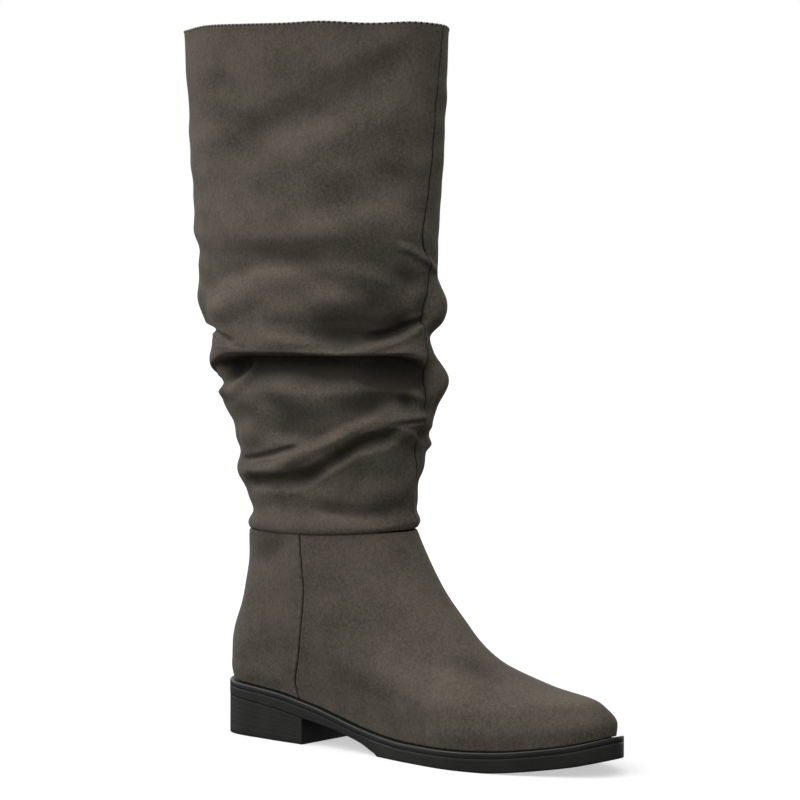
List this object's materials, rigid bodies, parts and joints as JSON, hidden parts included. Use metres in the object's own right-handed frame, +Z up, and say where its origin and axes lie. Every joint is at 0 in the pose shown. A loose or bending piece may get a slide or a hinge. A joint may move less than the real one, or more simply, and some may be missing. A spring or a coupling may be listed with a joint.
{
  "type": "tall slouch boot",
  "caption": "Tall pull-on boot for the right foot, with a slack folded suede-look shaft over a plain foot, a dark rubber sole and a low block heel.",
  "frame": {"origin": "the middle of the heel's tread, on the floor", "axes": "+X towards the toe, +Y to the wearer's left, which is the medial side of this right boot, +Z up"},
  "size_m": [0.3052, 0.0918, 0.4091],
  "materials": {
    "suede": "soft napped suede-look, grey taupe",
    "lining": "plain woven lining",
    "rubber": "black, satin moulded"
  },
  "bodies": {
    "root": {"upper": "suede", "shaft": "suede", "insole": "lining", "welt": "rubber", "outsole": "rubber", "heel": "rubber"}
  },
  "joints": []
}
